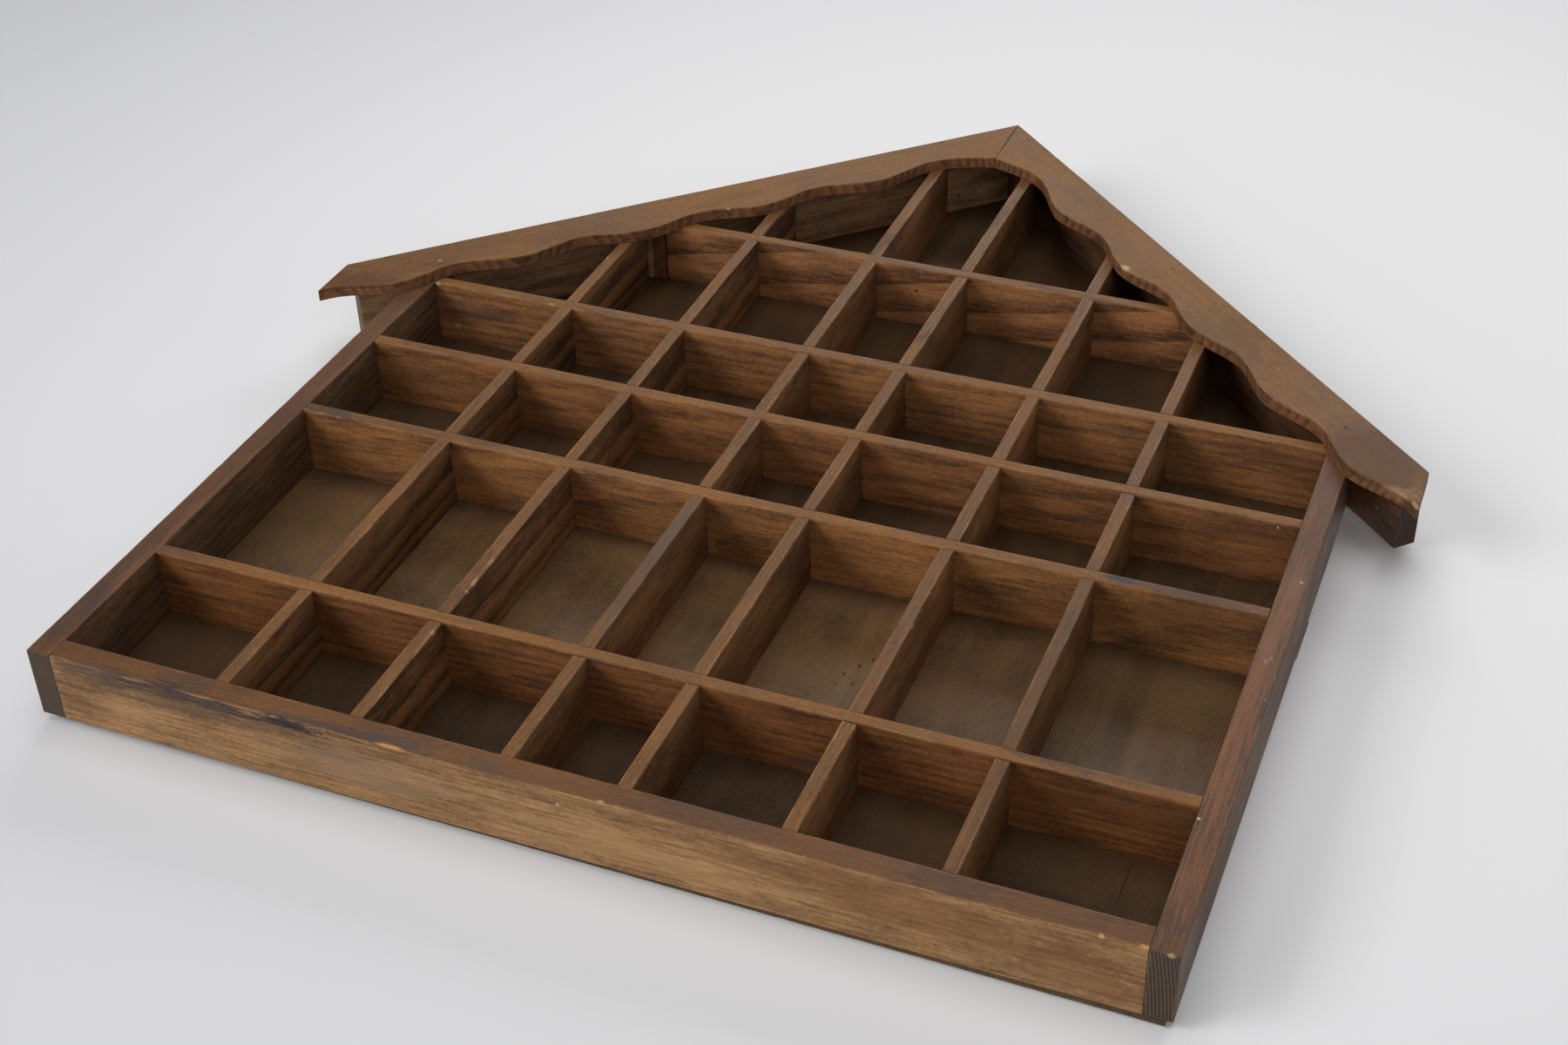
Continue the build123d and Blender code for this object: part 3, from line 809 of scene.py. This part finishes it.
for number, node in enumerate(upright_names):
    cuts = []
    for shelf in shelf_names:
        if crossing(shelf, node):
            shelf_low, shelf_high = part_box(shelf)
            cuts.append((shelf_low.z - slack, shelf_high.z + joint_play))
    scars = ((), ((0.107, 0.028, 0.0002),)) if node == "upright_2" else ((), ())
    made = boxed_board(
        node,
        upright,
        grain_frame((0, 0, 1), upright_hearts[number], 0.9 * number, upright_leans[number]),
        seed=20 + number,
        notches=cuts,
        scars=scars,
        stain=(upright_stains[number],) * 3,
    )
    finish_piece(made, node, upright_wood)


# Packing piece: an offcut of shelf strip, its end sawn to the slope of the roof. It fills the corner
# between the top shelf's left end and the roof board.
pack_low, pack_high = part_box("shelf_packing")
pack_tip = 0.0008  # width of its narrow edge
pack_slope = (pack_high.x - pack_low.x - pack_tip) / (pack_high.z - pack_low.z)
packing = boxed_board(
    "shelf_packing",
    level,
    grain_frame((0, 0, 1), (0.02, 0.03), 0.2),
    seed=31,
    slant=(pack_slope, 0.0),
    eased=0.0001,
    pitch=0.001,
)
finish_piece(packing, "shelf_packing", shelf_wood)


# Roof boards: battens of the rails' section, mitred plumb at the ridge and cut square at the
# eaves. Only their undersides and cut ends show behind the bargeboards. Their stain tints are
# painted light on the left board and painted shade on the right.
roof_wood = wood_material(
    "roof_wood",
    dark=(0.085, 0.05, 0.029),
    light=(0.26, 0.148, 0.08),
    front_dark=(0.08, 0.045, 0.024),
    front_light=(0.17, 0.09, 0.045),
    bare=(0.4, 0.25, 0.13),
    ring=0.0017,
    strength=0.28,
    wear=0.4,
    marks=[
        ((-16.1, 6.5, 489), (1.1, 0.7, 1.1), (0.006, 0.005, 0.004), 1, 0.2),
        ((227.9, 3.8, 284.2), (1, 0.8, 1), (0.3, 0.26, 0.22), 0.8, 0.4),
        ((235.1, 4.5, 277), (0.6, 0.5, 0.6), (0.2, 0.17, 0.15), 0.8, 0.4),
    ],
)


def roof_corners(node):
    """Corners of a roof board's side: ridge top and bottom, and eave top and bottom."""
    points = [v.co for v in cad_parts[node].data.vertices]
    apex = max(points, key=lambda p: p.z)
    foot = min((p for p in points if abs(p.x - apex.x) < same_place), key=lambda p: p.z)
    tip = max(points, key=lambda p: abs(p.x - apex.x))
    heel = min(points, key=lambda p: p.z)
    return [Vector((p.x, 0.0, p.z)) for p in (apex, foot, tip, heel)]


def roof_board(node, seed, heart, stain):
    """A roof board, run down from the ridge, with its ridge end cut plumb."""
    low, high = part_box(node)
    apex, foot, tip, heel = roof_corners(node)
    down = (tip - apex).normalized()
    inward = (heel - tip).normalized()
    thickness = (heel - tip).length
    reach = (foot - apex).dot(down) / thickness

    def sloping(along, across, depth):
        point = apex + down * along + inward * across
        return (point.x, depth, point.z)

    made = worn_board(
        node + "_board",
        (0.0, (tip - apex).length, 0.0, thickness, low.y, high.y),
        sloping,
        grain_frame(down, heart, seed * 0.37, (0.01, 0.02)),
        seed=seed,
        slant=(reach, 0.0),
        inner_face=3,
        inner_side=10,
        eased=0.0003,
        stain=stain,
    )
    finish_piece(made, node, roof_wood)


# Painted light and shade: the left board's stain tint lightens it, the right board's darkens it.
roof_board("roof_board_left", 5, (0.05, 0.02), (1.5, 1.5, 1.4))
roof_board("roof_board_right", 6, (0.03, -0.05), (0.5, 0.4, 0.36))


# Bargeboards: thin fascias nailed over the front of the roof boards. Their lower edge is sawn in
# waves and left a little rough, and their fronts are the palest, best rubbed wood of the shelf.
brad_gap = 0.022  # from a bargeboard's upper edge; its brad holes are nearer, its lower edge farther
slit_depth = 0.0009
slit_over = 0.0005  # how far the cutter stands out of the board
slit_outline = [  # along and across the slope, from the brad's middle
    (-0.0015, 0.0),
    (-0.0005, -0.0003),
    (0.0014, -0.0002),
    (0.0016, 0.0001),
    (0.0003, 0.00035),
    (-0.0012, 0.0003),
]
brad_marks = [(-0.2108, 0.2944), (-0.1304, 0.3887), (-0.0264, 0.4901)]
brad_marks += [(0.0135, 0.5071), (0.113, 0.4041), (0.2096, 0.3008)]
barge_wood = wood_material(
    "barge_wood",
    dark=(0.08, 0.036, 0.018),
    light=(0.24, 0.105, 0.045),
    front_dark=(0.075, 0.035, 0.014),
    front_light=(0.255, 0.118, 0.036),
    bare=(0.36, 0.22, 0.11),
    ring=0.0014,
    wave=2.5,
    strength=0.55,
    blotches=0.3,
    wear=0.5,
    grime=0.25,
    marks=[
        ((-206.8, -20.3, 299), (1.4, 0.9, 0.9), (0.5, 0.38, 0.26), 0.9, 0.5),
        ((-100.5, -17.5, 407.8), (1.3, 1.6, 1.3), (0.7, 0.66, 0.6), 0.9, 0.6),
        ((-103, -16, 405.3), (1.5, 0.8, 1), (0.62, 0.58, 0.52), 0.7, 0.7),
        ((91.8, -20.3, 397.8), (3, 1, 2.6), (0.5, 0.4, 0.3), 0.8, 0.7),
        ((225, -20.5, 284), (26, 3, 30), (0.075, 0.032, 0.013), 0.68, 0.5),
        ((4, -20.5, 505), (0.4, 2, 17.5), (0.02, 0.014, 0.01), 0.9, 0.2),
        ((-232, -20.5, 268), (22, 2, 14), (0.085, 0.033, 0.018), 0.6, 1.4),
        ((-190, -20.5, 296), (26, 2, 8), (0.1, 0.042, 0.022), 0.5, 1.6),
        ((150, -20.5, 352), (26, 2, 26), (0.1, 0.055, 0.026), 0.45, 1.6),
        ((236, -19.8, 263), (11, 3.2, 3.4), (0.3, 0.18, 0.1), 0.4, 1.3),
    ],
)


def edge_line(node, top):
    """The upper or lower edge of a bargeboard as (x, z) points in order of x."""
    points = [v.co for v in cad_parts[node].data.vertices]
    front = min(p.y for p in points)
    apex = max(points, key=lambda p: p.z)
    tip = max(points, key=lambda p: (round(abs(p.x - apex.x), 5), p.z))
    fall = (apex.z - tip.z) / abs(tip.x - apex.x)
    edge = {}
    for p in points:
        if p.y < front + same_place:
            gap = apex.z - fall * abs(p.x - apex.x) - p.z
            if (gap < same_place) == top and (top or gap > brad_gap):
                edge[round(p.x, 6)] = p.z
    return sorted(edge.items())


def height_on(line, x):
    """Height of a line of points at x."""
    for (x0, z0), (x1, z1) in zip(line, line[1:]):
        if x <= x1:
            return z0 + (z1 - z0) * max(0.0, (x - x0) / (x1 - x0))
    return line[-1][1]


def cut_slits(board, places, along, front):
    """Cuts a short slit into the board's front over each brad, with the grain."""
    out = Vector((0.0, -1.0, 0.0))
    across = along.cross(out)
    mesh = bmesh.new()
    for x, z in places:
        middle = Vector((x, front, z))
        corners = []
        for run, side in slit_outline:
            point = middle + along * run + across * side
            inner = mesh.verts.new(point - out * slit_depth)
            corners.append((inner, mesh.verts.new(point + out * slit_over)))
        mesh.faces.new([inner for inner, _ in corners])
        mesh.faces.new([outer for _, outer in reversed(corners)])
        for first, second in zip(corners, corners[1:] + corners[:1]):
            mesh.faces.new((first[0], first[1], second[1], second[0]))
    bmesh.ops.recalc_face_normals(mesh, faces=mesh.faces)
    tool = object_of(mesh, "slits")
    cut = board.modifiers.new("slits", "BOOLEAN")
    cut.operation = "DIFFERENCE"
    cut.solver = "EXACT"
    cut.object = tool
    shape = board.evaluated_get(bpy.context.evaluated_depsgraph_get())
    board.data = bpy.data.meshes.new_from_object(shape)
    board.modifiers.clear()
    bpy.data.objects.remove(tool)


def bargeboard(node, seed, heart, scars):
    """A bargeboard between the CAD's own edge lines, with its grain down the slope."""
    low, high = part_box(node)
    upper = edge_line(node, True)
    lower = edge_line(node, False)
    slope = Vector((upper[-1][0] - upper[0][0], 0.0, upper[-1][1] - upper[0][1]))
    grain = grain_frame(slope, heart, seed * 0.53, (0.02, 0.01))
    made = worn_board(
        node + "_board",
        (low.x, high.x, lambda x: height_on(lower, x), lambda x: height_on(upper, x), low.y, high.y),
        level,
        grain,
        seed=seed,
        pitch=0.001,
        inner_face=10,
        inner_side=1,
        scars=(scars, ()),
    )
    places = [place for place in brad_marks if low.x < place[0] < high.x]
    cut_slits(made, places, slope.normalized(), low.y)
    for vertex, entry in zip(made.data.vertices, made.data.attributes["grain"].data):
        entry.vector = grain(vertex.co)
    for entry in made.data.attributes["stain"].data:
        entry.vector = (1.0, 1.0, 1.0)
    finish_piece(made, node, barge_wood)


left_scars = ((-0.1005, 0.001, 0.0004), (-0.17, 0.004, 0.0002))
right_scars = ((0.0918, 0.003, 0.0004), (0.236, 0.006, 0.0005), (0.2445, 0.001, 0.0008))
bargeboard("bargeboard_left", 7, (0.05, 0.03), left_scars)
bargeboard("bargeboard_right", 8, (0.045, 0.035), right_scars)


# Back panel: a sheet of hardboard with its screen-marked face to the front, stained with the rest
# and nailed on slightly askew, so that a sliver of its edge shows below the bottom rail.
rib_pitch = 0.00105
row_pitch = 0.0013
face_depths = (0.0165, 0.0158)  # from the sheet's middle to its face
painted_light_from = (0.068, 0.09)  # heights between which the row of painted light begins
painted_light_to = (0.16, 0.18)  # and those between which it ends
panel_marks_and_shade = [
    ((62, 15, 130.5), (0.7, 1, 1.6), (0.005, 0.004, 0.003), 0.9, 0.4),
    ((65.5, 15, 136), (0.6, 1, 1.2), (0.005, 0.004, 0.003), 0.8, 0.4),
    ((58, 15, 124.5), (0.8, 1, 1.2), (0.005, 0.004, 0.003), 0.8, 0.4),
    ((63, 15, 120), (0.6, 1, 1.8), (0.005, 0.004, 0.003), 0.8, 0.5),
    ((57, 15, 118), (0.5, 1, 0.9), (0.005, 0.004, 0.003), 0.7, 0.4),
    ((185, 15, 54), (0.35, 1, 13), (0.006, 0.005, 0.004), 0.8, 0.3),
    # Painted shade: the next two broad dark patches, in the lowest row of bays.
    ((150, 15, 35), (30, 1, 9), (0.025, 0.015, 0.009), 0.5, 1.3),
    ((-109, 15, 38), (30, 1, 30), (0.02, 0.011, 0.006), 0.32, 0.8),
]


def make_panel_finish():
    """Hardboard with fine ribs up its face and fainter rows across. Lighter bands up the face are
    painted sheen; the row of tall bays has painted light, most in the middle, the other rows painted
    shade.
    """
    made, shader = new_material("panel_board")
    tree = made.node_tree
    spot = add(tree, "TexCoord").outputs["Object"]
    waves = []
    for axis, pitch, bend, bend_scale in (("X", rib_pitch, 1.6, 0.25), ("Z", row_pitch, 3.5, 0.5)):
        wave = add(
            tree,
            "TexWave",
            {"wave_type": "BANDS", "bands_direction": axis, "wave_profile": "SIN"},
            Vector=spot,
            Scale=wave_period / pitch,
            Distortion=bend,
            Detail=2.0,
            Detail_Scale=bend_scale,
        )
        waves.append(wave.outputs["Fac"])
    ribs, rows = waves
    bands = cloud(tree, vectors(tree, "MULTIPLY", spot, (90.0, 90.0, 9.0)), 1.0, 3.0, 0.6)
    smear = between(tree, cloud(tree, spot, 20.0, 5.0, 0.65), 0.32, 0.68)
    grit = cloud(tree, spot, 700.0, 2.0, 0.6)
    speckle = between(tree, cloud(tree, spot, 260.0, 2.0, 0.5), 0.72, 0.78, 0.0, 0.7)
    mottled = blend_of(tree, smear, colour(0.085, 0.043, 0.015), colour(0.19, 0.1, 0.036))
    # Painted sheen: lighter bands up the face, where it is also glossier.
    streaks = between(tree, bands, 0.4, 0.72, 0.0, 0.5)
    mottled_with_painted_sheen = blend_of(tree, streaks, mottled, colour(0.26, 0.15, 0.065))
    grains = between(tree, grit, 0.35, 0.7, 0.0, 0.35)
    gritty = blend_of(tree, grains, mottled_with_painted_sheen, colour(0.28, 0.16, 0.07))
    mesh_pattern = maths(tree, "MULTIPLY_ADD", rows, 0.2, ribs)
    hollows = between(tree, mesh_pattern, 0.95, 0.1, 0.0, 0.5)
    screened = blend_of(tree, hollows, gritty, colour(0.03, 0.016, 0.006))
    parts = add(tree, "SeparateXYZ", Vector=spot)
    front = between(tree, parts.outputs["Y"], *face_depths)
    # Painted light and shade: the row of tall bays is tinted lighter, most in the middle, and the other
    # rows darker. The back face is greyed.
    row = between(tree, parts.outputs["Z"], *painted_light_from)
    row = maths(tree, "SUBTRACT", row, between(tree, parts.outputs["Z"], *painted_light_to))
    off = maths(tree, "ABSOLUTE", maths(tree, "ADD", parts.outputs["X"], 0.03))
    front_wear_and_painted_light = times(tree, row, between(tree, off, 0.2, 0.0, 0.39, 1.13))
    uneven = blend_of(tree, front_wear_and_painted_light, colour(0.42, 0.4, 0.42), colour(1.2, 1.22, 1.3))
    uneven = blend_of(tree, front, colour(0.6, 0.6, 0.6), uneven)
    stained = blend_of(tree, 1.0, screened, uneven, "MULTIPLY")
    toned = blend_of(tree, speckle, stained, colour(0.012, 0.008, 0.006))
    toned = marked(tree, spot, toned, panel_marks_and_shade)
    relief = maths(tree, "MULTIPLY_ADD", grit, 0.5, mesh_pattern)
    dull = between(tree, bands, 0.3, 0.7, 0.52, 0.4)
    finish_shader(tree, shader, toned, dull, relief, 0.5, 0.00012, 0.3)
    return made


panel_board = make_panel_finish()
sawn_step = 0.0025  # between points of the sawn edge
sawn_rough = 0.00012
sheet_inset = 0.0003  # of both faces' edges
sheet_levels = [(0.0, sheet_inset), (0.0003, 0.0), (0.0013, 0.0002), (0.0027, 0.0)]  # depth and inset


def panel_sheet(node):
    """The sheet, with its rough-sawn edge as a fine polygon."""
    low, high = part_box(node)
    points = [v.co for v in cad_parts[node].data.vertices if v.co.y < low.y + same_place]
    middle = sum(points, Vector()) / len(points)
    corners = [
        min(points, key=lambda p: p.z + p.x),
        min(points, key=lambda p: p.z - p.x),
        max(points, key=lambda p: p.x * 3 + p.z),
        max(points, key=lambda p: p.z),
        max(points, key=lambda p: -p.x * 3 + p.z),
    ]
    outline = []
    for first, second in zip(corners, corners[1:] + corners[:1]):
        steps = round((second - first).length / sawn_step)
        out = Vector((second.z - first.z, 0.0, first.x - second.x)).normalized()
        for count in range(steps):
            share = count / steps
            point = first.lerp(second, share)
            rough = noise.noise(point * 400) * sawn_rough if count else 0.0
            outline.append(point - out * (sawn_rough + rough))
    mesh = bmesh.new()
    rings = []
    for depth, inset in sheet_levels + [(high.y - low.y, sheet_inset)]:
        ring = []
        for point in outline:
            drawn = point + (middle - point).normalized() * inset
            ring.append(mesh.verts.new((drawn.x, low.y + depth, drawn.z)))
        rings.append(ring)
    close_rings(mesh, rings)
    bmesh.ops.recalc_face_normals(mesh, faces=mesh.faces)
    return object_of(mesh, "back_panel_sheet")


finish_piece(panel_sheet("back_panel"), "back_panel", panel_board)


# Nails, brads and pins: plain round wire, dulled. Those in the front are punched below the surface.
# All of them keep the meshes of the CAD.
def make_steel(name, tone, rust):
    """Bare steel, dulled unevenly."""
    made, shader = new_material(name)
    tree = made.node_tree
    spot = add(tree, "TexCoord").outputs["Object"]
    tarnish = cloud(tree, spot, 900.0, 4.0, 0.6)
    shade = blend_of(tree, between(tree, tarnish, 0.35, 0.7), tone, rust)
    dull = between(tree, tarnish, 0.3, 0.7, 0.35, 0.6)
    finish_shader(tree, shader, shade, dull, tarnish, 0.3, 0.00005)
    shader.inputs["Metallic"].default_value = 1.0
    return made


def give_material(nodes, material):
    """Gives nodes that keep their CAD mesh their material."""
    for node in nodes:
        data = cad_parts[node].data
        data.materials.clear()
        data.materials.append(material)


nail_steel = make_steel("nail_steel", colour(0.32, 0.3, 0.28), colour(0.12, 0.085, 0.06))
nail_nodes = ("frame_nails", "shelf_nails", "bargeboard_brads", "back_panel_pins", "hanger_pins")
give_material(nail_nodes, nail_steel)


# Hanger plates: steel strip, stamped and cranked so that its eye stands off the back, then pinned
# through the panel to the side rails. They keep the meshes of the CAD too.
hanger_steel = make_steel("hanger_steel", colour(0.5, 0.47, 0.42), colour(0.3, 0.25, 0.19))
give_material(("hanger_left", "hanger_right"), hanger_steel)


# Paper: the pale sheet that the shelf lies on. It is seen from its front only, and a pool of light
# is painted on it: its colour is lightest round a point above and right of the shelf's middle.
paper_gap = 0.0006  # behind the back panel
paper_light_pool_centre = (0.15, 0.0, 0.44)
paper_light_pool_fade = (0.15, 1.0)  # distances from there between which it darkens
paper_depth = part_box("back_panel")[1].y + paper_gap
paper_half = 4.0
paper_mesh = bpy.data.meshes.new("paper")
signs = ((-1, -1), (1, -1), (1, 1), (-1, 1))
paper_corners = [(x * paper_half, paper_depth, z * paper_half) for x, z in signs]
paper_mesh.from_pydata(paper_corners, [], [(0, 1, 2, 3)])
paper = new_object("paper", paper_mesh)
paper.visible_diffuse = False
paper.visible_glossy = False
paper.visible_shadow = False
paper_white, shader = new_material("paper_white")
tree = paper_white.node_tree
spot = add(tree, "TexCoord").outputs["Object"]
# Painted light: the paper's colour darkens with the distance from the pool's centre.
paper_far = maths(tree, "DISTANCE", spot, paper_light_pool_centre, kind="VectorMath")
paper_painted_light = between(tree, paper_far, *paper_light_pool_fade)
paper_colour = blend_of(tree, paper_painted_light, colour(0.845, 0.84, 0.85), colour(0.525, 0.53, 0.555))
link(tree, paper_colour, shader.inputs["Base Color"])
shader.inputs["Roughness"].default_value = 0.9
shader.inputs["Specular IOR Level"].default_value = 0.0
clear = tree.nodes.new("ShaderNodeBsdfTransparent")
facing = tree.nodes.new("ShaderNodeNewGeometry")
either = tree.nodes.new("ShaderNodeMixShader")
paper_output = next(n for n in tree.nodes if n.type == "OUTPUT_MATERIAL")
tree.links.new(facing.outputs["Backfacing"], either.inputs["Fac"])
tree.links.new(shader.outputs["BSDF"], either.inputs[1])
tree.links.new(clear.outputs["BSDF"], either.inputs[2])
tree.links.new(either.outputs["Shader"], paper_output.inputs["Surface"])
paper_mesh.materials.append(paper_white)


# Room: its own soft light is dim from above, and as bright from below as the paper would throw back.
# Six large lamps stand for its windows and walls.
room_above = 0.08
room_below = 0.5
room = bpy.data.worlds.new("room")
bpy.context.scene.world = room
room.use_nodes = True
tree = room.node_tree
room_direction = add(tree, "SeparateXYZ", Vector=add(tree, "TexCoord").outputs["Generated"])
room_light = between(tree, room_direction.outputs["Y"], -0.02, 0.02, room_above, room_below)
link(tree, room_light, tree.nodes["Background"].inputs["Strength"])
tree.nodes["Background"].inputs["Color"].default_value = colour(1.0, 1.0, 1.0)


shelf_middle = Vector((0.0, 0.0, 0.25))


def soft_light(name, toward, distance, width, height, power):
    """A large lamp that looks at the middle of the shelf, with its long side level with the paper."""
    lamp = bpy.data.lights.new(name, "AREA")
    lamp.shape = "RECTANGLE"
    lamp.size = width
    lamp.size_y = height
    lamp.energy = power
    made = new_object(name, lamp)
    back = Vector(toward).normalized()
    side = Vector((0.0, -1.0, 0.0)).cross(back)
    side = side.normalized() if side.length > 0.01 else Vector((1.0, 0.0, 0.0))
    turn = Matrix((side, back.cross(side), back)).transposed()
    made.matrix_world = Matrix.Translation(shelf_middle + back * distance) @ turn.to_4x4()


soft_light("overhead", (0.0, -1.0, 0.0), 2.6, 2.0, 2.0, 26.0)
soft_light("window", (-0.62, -0.59, -0.52), 2.6, 1.0, 1.0, 27.0)
soft_light("window_sill", (-0.49, -0.25, -0.85), 2.6, 1.0, 0.7, 13.5)
soft_light("room_side", (0.4, -0.59, -0.7), 2.6, 1.6, 1.6, 11.0)
soft_light("far_wall", (0.0, -0.45, 0.9), 3.0, 3.2, 1.3, 45.0)
soft_light("right_wall", (0.95, -0.25, 0.1), 2.6, 2.0, 1.0, 10.0)


# Camera: it stands below the shelf's lower right corner and looks up its front. Its place, turn and
# lens are those of the photograph.
eye = Vector((0.2896908, -0.5287194, -0.4842262))
right = Vector((0.9284597437, 0.0221890783, 0.3707696711))
down = Vector((0.2012104706, 0.8090153026, -0.5522758248))
ahead = Vector((-0.3122128292, 0.5873686108, 0.7466734657))
camera_data = bpy.data.cameras.new("camera")
camera_data.sensor_fit = "HORIZONTAL"
camera_data.sensor_width = 36.0
camera_data.lens = 51.473
camera_data.clip_start = 0.01
camera = new_object("camera", camera_data)
turn = Matrix((right, -down, -ahead)).transposed()
camera.matrix_world = Matrix.Translation(eye) @ turn.to_4x4()
bpy.context.scene.camera = camera
bpy.context.scene.view_settings.view_transform = "Standard"
